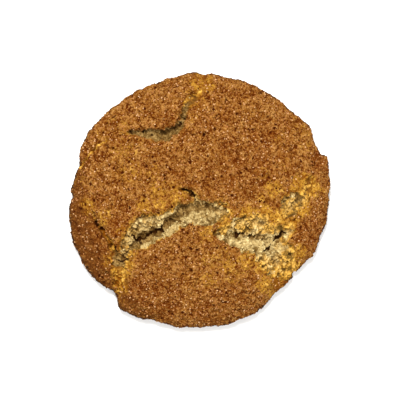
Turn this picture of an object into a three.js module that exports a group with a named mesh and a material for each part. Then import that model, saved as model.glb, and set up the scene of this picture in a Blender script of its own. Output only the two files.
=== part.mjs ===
// A snickerdoodle: one thick, round biscuit, baked until its sugared crust broke into plates
// and the pale crumb showed in the cracks between them. Millimetres, +Z up, and the origin is
// under the middle of the flat base.
import * as THREE from "three";
import { ImprovedNoise } from "three/addons/math/ImprovedNoise.js";
import { mergeVertices } from "three/addons/utils/BufferGeometryUtils.js";

const { clamp, lerp, smoothstep, radToDeg } = THREE.MathUtils;

// Driving dimensions.
const biscuitRadius = 44.8; // mean radius of the rim, seen from above
const rimHeight = 3.6; // the widest line stands this far over the base
const shoulderRise = 5.6; // the rounded edge climbs this far over the rim
const crownRise = 3.6; // and the top swells this far over the shoulder
const baseInset = 3.4; // the flat base stops this far inside the rim
const shoulderRoundness = 6; // higher is a flatter top with a tighter edge

// The rim's bays and corners fade out between these shares of the radius.
const bayFadeStart = 0.78;
const bayFadeEnd = 0.98;

// Unevenness of the baked dough: low swells, smaller lumps, and lumps of torn crumb in a crack.
const swellHeight = 0.32;
const swellLength = 13;
const lumpHeight = 0.17;
const lumpLength = 4.3;
const crumbHeight = 0.45;
const crumbLength = 2.7;

// How finely the skin is divided: most finely on top, and least on the base.
const skinDetail = 22;
const edgeDetail = 0.8;
const baseDetail = 0.16;
const topSteps = 240;
const undersideSteps = 60;

// The rim, anticlockwise from +X: the angle in degrees, and how far the rim stands out from
// the mean radius, in hundredths of it. The steps are where one plate of crust ends.
const rimShape = [
  // Right-hand rim plate, up to its square top corner.
  [0, 0.2], [8, 2.2], [14, 3.2], [18.5, 4.9], [19.8, 4.4],
  // Main plate, from the bay beside that corner round to the top.
  [21.8, -0.1], [26, -0.5], [30, 1.7], [34.5, 3.5], [40, 1], [47, -0.8], [66, -1.4],
  [79, -2.1], [85, -1], [88, -1.8],
  // Upper left flake.
  [93.5, 0], [100, -1.7], [110, -2.5], [120, -1.4], [128, -1.6], [140, 0.2], [150, 1.6],
  [159, 0.9],
  // Left side, between two small bays.
  [163.6, -2.7], [167.5, -0.5], [176, 0.8], [178, -0.9], [180.5, 1.3],
  // Lower left rim plate.
  [190, 2.7], [198, 4.2], [204, 3.2], [213, 3.4], [220, 1.1], [226.6, -2.5], [229, -1.6],
  // Lower plate, from its left corner.
  [232, 3], [234, 5.6], [237, 4.2], [243, 3], [249, -0.3], [257, -0.2], [260, 1],
  [268, -1.3], [277, -1.8], [284, -0.7], [288, -2.4], [294, -1.4], [302, -4], [309, -6.9],
  // Lower right, with the notch where the crack runs out.
  [319.5, -5.6], [322, -8.4], [324.5, -5.7], [329.5, -4.9], [334, -1.4], [344, -2.5],
  [350, -0.1],
];

// The cracks, each as the line of its deepest part. A point of it is [x, y, left, right,
// depth]: left and right are how far the torn crumb reaches to either side of the line, going
// along it, before the crust begins. lips is how high the crust curls up on those two sides,
// as a share of the depth. Lengths are in hundredths of the mean radius.
const cracks = [
  // The long crack from the lower left rim to the middle, under the main plate's edge.
  {
    lips: [0.14, 0.2],
    line: [
      [-65, -71, 3, 5, 2.5], [-63, -60, 5, 6, 3.5], [-61, -48, 8, 6, 5], [-56, -39, 10, 5, 6.5],
      [-48, -31, 14, 5, 8.5], [-38, -26, 16, 6, 8.5], [-29, -21, 13, 6, 8], [-21, -15, 8, 9, 7.5],
      [-14, -8, 5, 13, 7], [-3, -5, 4, 15, 6.5], [8, -5, 4, 14, 6.5], [16, -8, 6, 8, 5.5],
      [22, -10, 3, 3, 2],
    ],
  },
  // Its other half, from the tongue of crust in the middle to the right rim plate.
  {
    lips: [0.12, 0.14],
    line: [
      [9, -24, 3, 2, 2], [15, -26, 6, 5, 5], [24, -27, 10, 9, 7], [35, -27, 12, 12, 7.5],
      [46, -29, 13, 13, 7.5], [54, -31, 12, 12, 6.5], [62, -27, 9, 12, 6.5],
      [68, -23, 4, 8, 3.5], [72, -17, 2, 4, 1.5],
    ],
  },
  // Where that half turns down to the notch in the lower right rim.
  {
    lips: [0.1, 0.14],
    line: [
      [49, -31, 8, 8, 6], [53, -38, 10, 8, 6.5], [58, -46, 13, 7, 5], [63, -52, 13, 12, 4.5],
      [68, -55, 8, 14, 4], [73, -57, 4, 16, 3.5],
    ],
  },
  // Under the upper left flake, and up its side to the rim.
  {
    lips: [0.36, 0.08],
    line: [
      [-59, 52, 2, 2, 1], [-52, 53, 2.5, 2.5, 3.5], [-42, 53, 2.5, 4, 5], [-32, 52, 3, 6, 5],
      [-23, 54, 3, 6, 5], [-16, 59, 3, 4, 5], [-12, 66, 3, 4, 4.5], [-10, 73, 3.5, 4, 4],
      [-6, 81, 5, 5, 3], [-1, 89, 6, 6, 2], [1, 96, 6, 6, 1.5],
    ],
  },
  // A short spur up from the long crack.
  {
    lips: [0.1, 0.1],
    line: [
      [-15, 9, 2, 2, 1.5], [-10, 7, 2.4, 2.4, 4.5], [-6, 5, 2.6, 2.6, 5.5],
      [-3, 0, 2.6, 2.6, 5], [-2, -5, 2.6, 2.6, 6],
    ],
  },
  // Between the main plate and the right rim plate, up to the rim's square corner.
  {
    lips: [0.1, 0.16],
    line: [
      [66, -12, 2, 2, 2], [69, -8, 5, 4, 3.5], [75, -2, 6, 4, 4], [80, 1, 4, 4, 3.5],
      [83, 8, 3, 4, 2.5], [86, 17, 2.5, 3, 1.5], [90, 29, 2.5, 2.5, 2], [94, 34, 3, 2, 2.5],
    ],
  },
  // Between the main plate and the left rim plate.
  {
    lips: [0.1, 0.16],
    line: [
      [-84, -9, 2, 2, 1.5], [-80, -17, 2.5, 2.5, 4], [-75, -25, 3, 3, 4],
      [-70, -33, 3, 3, 3.5], [-66, -41, 5, 5, 4], [-62, -48, 6, 6, 4.5],
    ],
  },
  // The seam in from the bay in the upper left rim.
  {
    lips: [0.2, 0.1],
    line: [
      [-93, 25, 3, 3, 2.5], [-89, 32, 3, 3, 2.5], [-84, 38, 3, 3, 2.5], [-79, 43, 2.5, 2.5, 2],
      [-73, 46, 2, 2, 1],
    ],
  },
];
const stepsPerCrackPoint = 6;
const leastCrackWidth = 1; // in hundredths of the mean radius

// Across a crack: the crust's broken edge takes the first share of the drop, over a share of
// the width, and a narrow crevice along the line takes another. The crumb slopes between.
const edgeDrop = 0.18;
const edgeWidth = 0.3;
const creviceDrop = 0.32;
const creviceReach = 0.038 * biscuitRadius;
const raggedness = 0.35; // how much the width wanders, as a share of it
const raggedLength = 3.4;
const lipReach = 0.1 * biscuitRadius;
const lipPeak = 6.75; // brings the highest point of t(1 - t)² up to 1
const crumbFadeDepth = 1.6; // a crack this deep is full of torn crumb

// Points of the skin this near to a crack's line are drawn towards it, to keep it crisp.
const drawReach = 0.055 * biscuitRadius;
const drawPower = 2.1;

const crustColour = 0xa2682f;

const noise = new ImprovedNoise();
const hundredth = biscuitRadius / 100;

// How far the rim stands out at an angle, as a share of the mean radius.
function rimOffset(angle) {
  const degrees = (radToDeg(angle) + 360) % 360;
  const after = rimShape.findIndex(([at]) => at > degrees);
  const [endAngle, endOffset] = after < 0 ? [360, rimShape[0][1]] : rimShape[after];
  const [startAngle, startOffset] = rimShape.at(after < 0 ? -1 : after - 1);
  const along = (degrees - startAngle) / (endAngle - startAngle);
  return lerp(startOffset, endOffset, smoothstep(along, 0, 1)) / 100;
}

// Height of the uncracked top at a share of the radius.
function topHeight(share) {
  const shoulder = Math.sqrt(Math.max(0, 1 - share ** shoulderRoundness));
  return rimHeight + shoulderRise * shoulder + crownRise * (1 - share * share);
}

// The mean cross-section, from the middle of the top over the rim to the middle of the base.
// Each point has the share of the skin's faces that lies before it.
function makeSection() {
  const inset = baseInset / biscuitRadius;
  const points = [];
  for (let i = 0; i <= topSteps; i++) {
    const share = Math.sin((Math.PI / 2) * (i / topSteps));
    points.push({ share, z: topHeight(share), detail: share > bayFadeEnd ? edgeDetail : 1 });
  }
  for (let i = 1; i <= undersideSteps; i++) {
    const turn = (Math.PI / 2) * (i / undersideSteps);
    const share = 1 - inset * (1 - Math.cos(turn));
    points.push({ share, z: rimHeight * (1 - Math.sin(turn)), detail: edgeDetail });
  }
  for (let i = 1; i <= undersideSteps; i++) {
    points.push({ share: (1 - inset) * (1 - i / undersideSteps), z: 0, detail: baseDetail });
  }
  points[0].faces = 0;
  for (let i = 1; i < points.length; i++) {
    const [from, to] = [points[i - 1], points[i]];
    const length = Math.hypot(biscuitRadius * (to.share - from.share), to.z - from.z);
    to.faces = from.faces + to.detail * length * (from.share + to.share);
  }
  const total = points.at(-1).faces;
  for (const point of points) point.faces /= total;
  return points;
}

// The cross-section's point with the given share of the faces before it, and the direction
// in which the skin faces there.
function sectionAt(section, faces) {
  const found = section.findIndex((point) => point.faces >= faces);
  const i = clamp(found < 0 ? section.length - 1 : found, 1, section.length - 1);
  const [from, to] = [section[i - 1], section[i]];
  const along = clamp((faces - from.faces) / (to.faces - from.faces), 0, 1);
  const run = biscuitRadius * (to.share - from.share);
  const rise = to.z - from.z;
  const length = Math.hypot(run, rise);
  return {
    share: lerp(from.share, to.share, along),
    z: lerp(from.z, to.z, along),
    outward: -rise / length,
    upward: run / length,
    onTop: i <= topSteps,
  };
}

// A crack's line as closely spaced points in millimetres, in a smooth curve through its own.
function traceCrack({ lips: [lipLeft, lipRight], line }) {
  const curveThrough = (points) => new THREE.CatmullRomCurve3(points, false, "catmullrom");
  const route = curveThrough(line.map(([x, y]) => new THREE.Vector3(x, y, 0)));
  const sizes = curveThrough(line.map((point) => new THREE.Vector3(...point.slice(2))));
  const steps = stepsPerCrackPoint * (line.length - 1);
  const traced = [];
  for (let i = 0; i <= steps; i++) {
    const { x, y } = route.getPoint(i / steps).multiplyScalar(hundredth);
    const { x: left, y: right, z: depth } = sizes.getPoint(i / steps);
    traced.push({
      x,
      y,
      left: Math.max(left, leastCrackWidth) * hundredth,
      right: Math.max(right, leastCrackWidth) * hundredth,
      depth: Math.max(depth, 0) * hundredth,
    });
  }
  return { lipLeft, lipRight, traced };
}

// The nearest place on a crack's line to (x, y), with the crack's measures on that side.
function nearestOnCrack({ lipLeft, lipRight, traced }, x, y) {
  let nearest = { distance: Infinity };
  for (let i = 1; i < traced.length; i++) {
    const [from, to] = [traced[i - 1], traced[i]];
    const [runX, runY] = [to.x - from.x, to.y - from.y];
    const ahead = (x - from.x) * runX + (y - from.y) * runY;
    const along = clamp(ahead / (runX * runX + runY * runY), 0, 1);
    const [onX, onY] = [from.x + along * runX, from.y + along * runY];
    const distance = Math.hypot(x - onX, y - onY);
    if (distance >= nearest.distance) continue;
    const side = runX * (y - onY) - runY * (x - onX) > 0 ? "left" : "right";
    nearest = {
      distance,
      x: onX,
      y: onY,
      width: lerp(from[side], to[side], along),
      depth: lerp(from.depth, to.depth, along),
      lip: side === "left" ? lipLeft : lipRight,
    };
  }
  return nearest;
}

// The share of its depth by which a crack lowers the skin at a distance from its line.
function crackProfile(distance, width) {
  const slope = Math.max(0, 1 - distance / width);
  const crevice = Math.max(0, 1 - distance / Math.min(creviceReach, width));
  const slopeDrop = 1 - edgeDrop - creviceDrop;
  return edgeDrop * smoothstep(slope, 0, edgeWidth) + slopeDrop * slope + creviceDrop * crevice;
}

// How far the cracks near (x, y) lower the top there, less what the curled crust adds.
function crackRelief(nearby, x, y) {
  const wander = noise.noise(x / raggedLength, y / raggedLength, 0.5);
  let valley = 0;
  let lip = 0;
  for (const crack of nearby) {
    const width = crack.width * (1 + raggedness * wander);
    valley = Math.max(valley, crack.depth * crackProfile(crack.distance, width));
    const past = clamp((crack.distance - width) / lipReach, 0, 1);
    lip = Math.max(lip, crack.lip * crack.depth * lipPeak * past * (1 - past) ** 2);
  }
  const torn = smoothstep(valley, 0, crumbFadeDepth);
  const crumb = noise.noise(x / crumbLength, y / crumbLength, valley / crumbLength);
  return valley - torn * crumbHeight * crumb - (1 - torn) * lip;
}

// Draws (x, y) towards the nearest of the cracks, so that more of the skin's faces lie there.
function drawToCrack(nearby, x, y) {
  const nearest = nearby.reduce((best, crack) => (crack.distance < best.distance ? crack : best));
  if (nearest.distance >= drawReach) return [x, y];
  const kept = (nearest.distance / drawReach) ** (drawPower - 1);
  return [lerp(nearest.x, x, kept), lerp(nearest.y, y, kept)];
}

// Low swells and smaller lumps of the dough at a point.
function unevenness(point) {
  const at = (length) => noise.noise(point.x / length, point.y / length, point.z / length);
  return swellHeight * at(swellLength) + lumpHeight * at(lumpLength);
}

// Moves one vertex of a unit sphere to its place on the biscuit's skin.
function placeOnBiscuit(section, tracedCracks, vertex) {
  const { share, z, outward, upward, onTop } = sectionAt(section, (1 - vertex.z) / 2);
  const angle = Math.atan2(vertex.y, vertex.x);
  const bay = rimOffset(angle) * smoothstep(share, bayFadeStart, bayFadeEnd);
  const radius = biscuitRadius * share * (1 + bay);
  let [x, y] = [radius * Math.cos(angle), radius * Math.sin(angle)];
  let relief = 0;
  if (onTop) {
    const findNearby = () => tracedCracks.map((crack) => nearestOnCrack(crack, x, y));
    const [drawnX, drawnY] = drawToCrack(findNearby(), x, y);
    const drawn = 1 - smoothstep(share, bayFadeStart, 1);
    [x, y] = [lerp(x, drawnX, drawn), lerp(y, drawnY, drawn)];
    relief = crackRelief(findNearby(), x, y) * smoothstep(z - rimHeight, 0, shoulderRise / 2);
  }
  const point = new THREE.Vector3(x, y, z);
  const bulge = unevenness(point) * smoothstep(z, 0, rimHeight);
  point.x += bulge * outward * Math.cos(angle);
  point.y += bulge * outward * Math.sin(angle);
  point.z += bulge * upward - relief;
  return point;
}

function makeBiscuitGeometry() {
  const sphere = new THREE.IcosahedronGeometry(1, skinDetail);
  sphere.deleteAttribute("normal");
  sphere.deleteAttribute("uv");
  const skin = mergeVertices(sphere);
  const section = makeSection();
  const tracedCracks = cracks.map(traceCrack);
  const positions = skin.getAttribute("position");
  const vertex = new THREE.Vector3();
  for (let i = 0; i < positions.count; i++) {
    vertex.fromBufferAttribute(positions, i);
    const { x, y, z } = placeOnBiscuit(section, tracedCracks, vertex);
    positions.setXYZ(i, x, y, z);
  }
  skin.computeBoundingBox();
  const middle = skin.boundingBox.getCenter(new THREE.Vector3());
  skin.translate(-middle.x, -middle.y, 0);
  skin.computeVertexNormals();
  return skin;
}

const biscuitMaterial = new THREE.MeshStandardMaterial({
  color: crustColour,
  roughness: 0.85,
  metalness: 0,
});

const biscuit = new THREE.Mesh(makeBiscuitGeometry(), biscuitMaterial);
biscuit.name = "biscuit";

const snickerdoodle = new THREE.Group();
snickerdoodle.add(biscuit);

export default snickerdoodle;
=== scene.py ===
"""The looks of a snickerdoodle: its gritty crust, the torn crumb in its cracks, and its sugar."""

import bmesh
import bpy
import numpy as np
from bpy.props import FloatProperty, FloatVectorProperty, IntProperty, PointerProperty
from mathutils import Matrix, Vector, noise


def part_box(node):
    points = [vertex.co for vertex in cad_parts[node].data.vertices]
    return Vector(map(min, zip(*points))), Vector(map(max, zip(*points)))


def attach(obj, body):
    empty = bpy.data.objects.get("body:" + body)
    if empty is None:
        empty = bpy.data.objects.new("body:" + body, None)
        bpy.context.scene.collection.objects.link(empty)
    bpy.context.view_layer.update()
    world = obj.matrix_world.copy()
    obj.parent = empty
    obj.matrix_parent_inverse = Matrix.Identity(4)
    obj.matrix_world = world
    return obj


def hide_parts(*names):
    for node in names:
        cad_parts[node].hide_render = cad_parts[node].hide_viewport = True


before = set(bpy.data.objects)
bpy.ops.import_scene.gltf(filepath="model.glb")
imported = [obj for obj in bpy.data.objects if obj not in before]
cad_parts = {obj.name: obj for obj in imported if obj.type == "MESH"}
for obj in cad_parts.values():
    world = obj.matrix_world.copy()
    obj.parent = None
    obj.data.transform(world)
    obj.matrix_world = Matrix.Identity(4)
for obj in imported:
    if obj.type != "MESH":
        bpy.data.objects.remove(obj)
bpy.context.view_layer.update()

bl_info = {
    "name": "Snickerdoodle",
    "version": (1, 0, 0),
    "blender": (4, 5, 0),
    "location": "3D View > Sidebar > Snickerdoodle",
    "description": "Bakes a cracked biscuit with a cinnamon-sugar crust",
    "category": "Add Mesh",
}

NODE = "biscuit"
BODY = "root"
MM = 0.001

LOW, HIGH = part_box(NODE)
WIDTH_IN_HUNDREDTHS = 203  # the biscuit's width, in hundredths of its mean radius
HUNDREDTH = (HIGH.x - LOW.x) / WIDTH_IN_HUNDREDTHS
BASE_HEIGHT = LOW.z
# From the point that all places are measured from to the middle of the biscuit's box.
OUTLINE_SHIFT = np.array((0.118, -0.056)) * MM

# The cracks, each along the line of its deepest part, in hundredths of the mean radius:
# x, y, how far the torn crumb reaches to the left and to the right of the line, how pale it
# is there from 0 to 1, and the half width and depth of the crevice along the line.
CRACKS = {
    "main_left": (
        (-65, -71, 1.5, 3, 0.0, 0.4, 0.5), (-63, -60, 3.5, 5, 0.1, 0.6, 1.0),
        (-61, -48, 6, 5, 0.25, 1.1, 2.0), (-56, -39, 7, 5, 0.4, 1.5, 3.0),
        (-48, -32, 13, 6.5, 0.65, 2.2, 5.0), (-42, -28, 15, 8, 0.75, 2.6, 5.0),
        (-36, -25, 15, 7.5, 0.8, 2.4, 4.5), (-29, -22, 13, 7.5, 0.9, 2.0, 4.5),
        (-24, -18, 10, 8, 0.95, 2.2, 5.5), (-19, -14, 8, 9, 1.0, 2.8, 6.0),
        (-14, -9, 6, 13, 0.9, 3.2, 6.5), (-8, -6, 4, 15, 0.8, 2.6, 5.0),
        (-1, -5, 4, 15.5, 0.7, 2.2, 4.5), (8, -5, 4, 18.5, 0.65, 2.2, 4.5),
        (16, -8, 6, 11.5, 0.65, 2.0, 4.0), (22, -10, 3, 3, 0.3, 0.8, 1.0),
    ),
    "main_right": (
        (12, -26, 1.5, 1.5, 0.6, 0.5, 1.0), (16, -26.5, 6, 5, 0.9, 0.8, 2.0),
        (24, -27, 9.5, 9, 0.8, 0.5, 1.0), (31, -26.5, 14, 11, 1.0, 1.1, 3.5),
        (39, -28, 17.5, 14.5, 1.0, 1.5, 4.5), (46, -28, 18, 19, 1.0, 2.2, 5.0),
        (54, -30, 16, 20, 0.95, 0.7, 1.5), (62, -27, 9, 11, 0.8, 1.0, 3.0),
        (68, -23, 5, 6, 0.5, 0.4, 1.0), (72, -17, 2, 4, 0.1, 0.4, 0.5),
    ),
    "lower_right": (
        (49, -31, 8, 8, 1.0, 0.5, 1.0), (53, -38, 12, 9, 1.0, 0.8, 2.0),
        (58, -46, 17, 13, 0.95, 0.5, 1.0), (63, -52, 18, 10.5, 0.85, 0.6, 1.5),
        (68, -55, 13, 9, 0.65, 0.4, 1.0), (73, -57, 8, 8, 0.3, 0.5, 1.0),
    ),
    "upper": (
        (-56, 52.5, 1.2, 1.2, 0.2, 0.8, 1.5), (-53, 53, 1.8, 1.5, 0.4, 1.3, 3.0),
        (-46, 52, 2.2, 2.5, 0.6, 2.2, 4.5), (-39, 52.5, 2.5, 4.5, 0.75, 2.8, 5.0),
        (-32, 52, 2.5, 5.5, 0.75, 2.8, 4.5), (-24, 53, 2.5, 5, 0.65, 2.4, 4.0),
        (-17, 57.5, 2.5, 3.5, 0.5, 2.2, 4.5), (-12.5, 65, 2.2, 2.8, 0.35, 1.8, 4.0),
        (-11.5, 71, 2, 3, 0.35, 1.0, 2.5), (-8, 76.5, 4.5, 4, 0.25, 0.9, 1.5),
        (-3, 81.5, 3.5, 4, 0.2, 0.7, 1.0), (1.5, 84.5, 1, 1, 0.0, 0.4, 0.5),
    ),
    "spur": (
        (-15, 9, 1.2, 1.2, 0.1, 0.7, 1.5), (-10, 8, 1.5, 1.5, 0.2, 0.8, 2.0),
        (-6, 5, 2.2, 2.2, 0.3, 1.1, 3.5), (-3, 1, 3, 2.8, 0.5, 1.2, 4.0),
        (-2, -5, 3.5, 3, 0.8, 1.7, 4.0),
    ),
    "right": (
        (66, -12, 2.5, 2.5, 0.3, 0.5, 1.0), (69, -8, 6.5, 5, 0.8, 0.9, 2.0),
        (74, -2, 9, 6, 0.75, 1.4, 3.0), (80, 2, 6, 5, 0.35, 1.5, 3.0),
        (83, 8, 3, 4, 0.2, 1.0, 2.0), (86, 17, 2, 2.5, 0.2, 0.4, 1.0),
    ),
    "left_rim": (
        (-84, -9, 0.8, 0.8, 0.0, 0.5, 1.0), (-80, -17, 0.8, 0.8, 0.0, 0.7, 2.5),
        (-75, -25, 0.8, 0.8, 0.0, 0.6, 2.0), (-70, -33, 1, 1, 0.0, 0.7, 2.0),
        (-66, -40, 3, 3, 0.25, 0.9, 2.0), (-62, -48, 5, 5, 0.45, 0.7, 1.5),
    ),
    "left_seam": (
        (-93, 25, 1, 1, 0.0, 0.5, 1.5), (-89, 32, 1, 1, 0.0, 0.5, 1.5),
        (-84, 38, 1, 1, 0.0, 0.4, 1.0), (-79, 43, 1, 1, 0.0, 0.4, 0.8),
        (-73, 46, 0.8, 0.8, 0.0, 0.3, 0.5),
    ),
}
STEPS_PER_POINT = 6  # the steps of the smooth curve from one of a line's points to the next

# How golden the crust is beside each crack, on its left and on its right.
GOLDEN_BORDERS = {
    "main_left": (1.0, 0.35), "main_right": (1.0, 0.35), "lower_right": (1.0, 1.0),
    "upper": (0.1, 0.45), "spur": (0.3, 0.3), "right": (0.9, 0.9),
    "left_rim": (0.3, 0.5), "left_seam": (0.3, 0.3),
}
# How much painted shade the crumb in each crack gets from the crust beside it, on its left and on
# its right.
CRUMB_SHADES = {
    "upper": (1.0, 0.85), "spur": (0.5, 0.5), "main_left": (0.26, 0.1), "right": (0.35, 0.3),
    "left_rim": (0.85, 0.85),
}

# The longest edges that the skin keeps: at first, above its base, and in and near the cracks.
COARSE_EDGE = 0.9 * MM
FINE_EDGE = 0.5 * MM
FINEST_EDGE = 0.27 * MM
FINE_FROM = 0.4 * MM  # how high over the base the second of them starts
LOWEST_CRACK = 3 * MM  # and the third
CRACK_MARGIN = 0.6  # how far beyond a crack's edges the third reaches, in hundredths
WELD = 0.01 * MM  # corners of the solid's faces that are nearer than this are one

# Dark slots torn into the crumb, and short cracks in the crust: how deep and how wide to each
# side each of them is, and its points, in hundredths of the mean radius.
SLOTS = (
    # the left half of the long crack
    (6, 1.05, ((-55, -28.5), (-52, -27.5), (-50.5, -30), (-49, -31.5), (-46, -32.5))),
    (6, 0.95, ((-49, -31), (-45, -29.5), (-41, -27.5), (-37.5, -25))),
    (6.5, 1.3, ((-38, -25.5), (-35, -24), (-32, -22), (-30, -21.5), (-29.5, -19.5))),
    (3, 0.65, ((-28, -22.5), (-25, -22.5), (-23.5, -19), (-23, -15.5))),
    (4.5, 0.9, ((-56.5, -37), (-54.5, -35.5), (-53, -34))),
    (4.5, 0.8, ((-60.5, -42), (-59, -44.5))),
    (5, 0.85, ((-63.5, -46.5), (-61, -48), (-58.5, -46.5), (-57, -45.5))),
    (4.5, 0.8, ((-61.5, -36), (-60, -38.5))),
    (4, 0.8, ((-57.5, -41), (-56, -39.5))),
    (3, 0.75, ((-17, -10), (-16, -6), (-15.5, -4))),
    (2.5, 0.65, ((-14, -6.5), (-11.5, -4.5), (-9, -4.5))),
    (3, 0.8, ((-20.5, -14), (-18, -13), (-16, -11))),
    # the spur
    (5.5, 1.15, ((-14.5, 9), (-11.5, 9), (-8.5, 8), (-6.5, 6.5), (-6.5, 4.5))),
    (4.5, 0.95, ((-6, 5), (-4.5, 3), (-3, 0.5))),
    (3, 0.75, ((-3, -1.5), (-3, -3), (-2, -5))),
    # the middle
    (3, 0.75, ((-1, -2.5), (0.5, -4.5))),
    (2.5, 0.7, ((7, -2), (9.5, -1.5), (11.5, -3))),
    (3, 0.75, ((13, -10.5), (12.5, -13.5), (11.5, -16))),
    (4, 0.85, ((15, -5), (17.5, -3.5), (20.5, -3))),
    # the right half
    (3, 0.9, ((11.5, -27), (13, -26), (15.5, -26.5))),
    (3, 0.55, ((19, -27.5), (20, -28.5), (21.5, -27))),
    (5, 1, ((28, -26), (30, -27), (33, -26), (34.5, -25))),
    (2.5, 0.55, ((36, -27), (37.5, -28.5), (39, -27.5), (41, -26.5), (43, -27.5))),
    (2.5, 0.65, ((47, -23), (47.5, -26))),
    (4, 0.8, ((48.5, -31.5), (50, -29.5))),
    (3.5, 0.8, ((38, -20), (38, -22.5))),
    (5, 0.95, ((56.5, -32), (59, -30), (61.5, -27.5), (63.5, -25.5), (66, -24.5))),
    (3, 0.75, ((63.5, -29.5), (65, -26.5))),
    (4.5, 0.95, ((49.5, -39), (52, -38.5), (53.5, -36.5), (55, -34.5))),
    (3.5, 0.9, ((67.5, -31.5), (68, -33.5))),
    (3, 0.8, ((69, -18), (70, -16.5))),
    (3.5, 0.75, ((67, -11), (68.5, -9.5), (69.5, -8.5))),
    (3.5, 0.9, ((60.5, -55.5), (61.5, -54))),
    (2, 0.55, ((66, -45), (67.5, -45.5), (67.5, -47))),
    (1.5, 0.5, ((52.5, -27), (53.5, -25.5), (55, -25), (56, -26.5), (55.5, -29))),
    # the crack at the right
    (4, 0.9, ((79.5, 0.5), (78.5, -2.5))),
    (2, 0.75, ((67.5, 3.5), (69, 1))),
    (2.5, 0.75, ((84, 12), (84.5, 10.5))),
    # the upper crack
    (3.5, 0.75, ((-54, 53), (-51.5, 52))),
    (5, 0.9, ((-44, 53.5), (-42, 54.5), (-40, 55))),
    (4, 0.75, ((-38.5, 52), (-37, 51.5))),
    (2.5, 0.55, ((-28.5, 52.5), (-24.5, 53), (-20.5, 55))),
    (4, 1.05, ((-17.5, 59), (-16, 59.5), (-14.5, 61))),
    (4, 0.9, ((-13, 64.5), (-12, 63))),
    (3, 0.9, ((-13, 72.5), (-12, 71))),
    # short cracks in the crust
    (6, 1.3, ((-81.5, -16), (-80, -18), (-79, -20))),
    (5, 1, ((-76.5, -21.5), (-75, -23), (-74, -24.5))),
    (4, 0.9, ((-71.5, -29.5), (-70, -30), (-68, -32))),
    (3.5, 0.8, ((-69, -34), (-68.5, -36.5))),
    (2.5, 0.7, ((-86.5, -11.5), (-84, -10.5), (-82, -9.5))),
    (1.8, 0.55, ((-64, 50), (-60, 51.5), (-58.5, 52.5))),
    (1.8, 0.55, ((-7.5, 51.5), (-5, 51), (-3, 51.5))),
    (3, 0.75, ((3, 49), (3.5, 50.5), (5, 52.5))),
    (1.6, 0.5, ((-2.5, 79.5), (0, 81.5))),
    (1.5, 0.55, ((-11.5, 79.5), (-9, 82), (-4.5, 83.5), (3, 84.5))),
    (2, 0.5, ((19, 82), (20, 78), (19.5, 74))),
    (2, 0.5, ((10.5, 64), (13, 65.5), (16, 67.5))),
    (1.8, 0.5, ((-27.5, 21), (-27.5, 16), (-26, 13.5))),
    (1.5, 0.4, ((20, -59.5), (25.5, -58))),
    (5, 0.9, ((-67, -33.5), (-66, -36.5), (-64.5, -39.5))),
    (4, 0.8, ((-61.5, -42.5), (-59, -45), (-56, -46))),
    (3.5, 0.7, ((-66, -44), (-64, -46.5))),
    (3.5, 0.75, ((-60.5, -52), (-58, -50.5))),
    (3, 0.65, ((-68, -49.5), (-66.5, -52))),
    (3, 0.8, ((-80, -51), (-77.5, -52))),
    (3, 0.8, ((-79, -59), (-75.5, -60))),
    (3, 0.8, ((-75, -54.5), (-72, -56))),
    (3, 0.8, ((-68, -64), (-64.5, -66))),
    (2.5, 0.7, ((-94, -5), (-91, -7))),
    (1.6, 0.5, ((29, 59.5), (30.5, 56.5))),
    (1.6, 0.5, ((40, 11), (43, 12.5))),
    (1.6, 0.5, ((-40, 30), (-37.5, 28.5))),
    (2.2, 0.75, ((88.5, 30), (90, 27.5))),
    (2.2, 0.65, ((76, -48), (77, -45.5))),
    (1.8, 0.65, ((70.5, -54), (71.5, -55))),
)

# How much of the depth of a crevice, and of a slot or hole, the skin adds: the solid's own
# crevices make up the rest.
CREVICE_SHARE = 0.3
SLOT_SHARE = 0.45

# Single holes and pits: x, y, radius and depth, in hundredths of the mean radius.
HOLES = (
    (-12.5, -10, 1.6, 4), (-3.5, -9, 1.0, 2.2), (8.5, -13.5, 1.1, 3), (10.5, -20.5, 1.2, 4),
    (-0.5, -20, 0.9, 2), (24.5, -24, 1.0, 2.5), (25, -36.5, 1.3, 3), (48.5, -44, 1.0, 2.6),
    (55.5, -45, 1.0, 2.4), (58, -19, 1.0, 2), (54.5, -22, 0.9, 2), (60.5, -45, 1.4, 1.5),
    (71.5, -47.5, 1.0, 2), (67.5, -52.5, 1.0, 2), (64, -59.5, 1.0, 2), (34, -35, 0.8, 1.8),
    (-34.5, -18, 1.4, 2.4), (-44.5, -20, 1.0, 2), (-51, -19, 1.0, 1.8), (-32, -10.5, 1.4, 3.2),
    (-37.5, -9.5, 0.9, 1.8), (-46.5, -12, 0.9, 1.6), (-57.5, -18.5, 1.1, 1.8),
    (-65.5, -41, 1.1, 2), (-71, -41.5, 1.1, 2), (-63.5, -51, 1.2, 2.2), (-67.5, -53.5, 1.0, 1.8),
    (-35, 49, 0.7, 2), (-30.5, 49.5, 0.8, 2.5), (-47, 50.5, 0.9, 3.5), (71.5, -4, 0.9, 2),
    (75, 1, 0.9, 2), (-20.5, -27.5, 1.0, 1.6), (-5.5, -32, 1.1, 1.8), (10.5, -37, 1.0, 1.8),
    (-5.5, 74.5, 1.0, 1.8), (-29.5, 63, 1.5, 1.3), (-46.5, 46.5, 1.5, 1.3), (66, 42, 1.1, 1.4),
    (-27, 14, 1.2, 1.8), (6.5, 12, 1.3, 1.6), (6, 9, 1.0, 1.6), (-76, -27, 1.1, 2.5),
    (-68, -38, 1.0, 2), (91.5, 33.5, 0.9, 1.8), (95, 10, 1.1, 1.6), (87, 6, 0.9, 1.6),
    (29.5, -5.5, 1.1, 2), (27.5, -14.5, 1.0, 1.6), (33.5, -17, 1.1, 1.6), (7.5, -1.5, 1.0, 1.8),
    (-7.5, 91.5, 1.2, 2.2), (-22, 75, 0.9, 1.3), (46, -70, 1.0, 1.3), (77, 44, 0.9, 1.3),
    (-41, 79, 0.9, 1.2), (-61, 68, 1.0, 1.2), (-20.5, 87, 0.9, 1.3), (63, -9.5, 1.0, 1.4),
)

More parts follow.
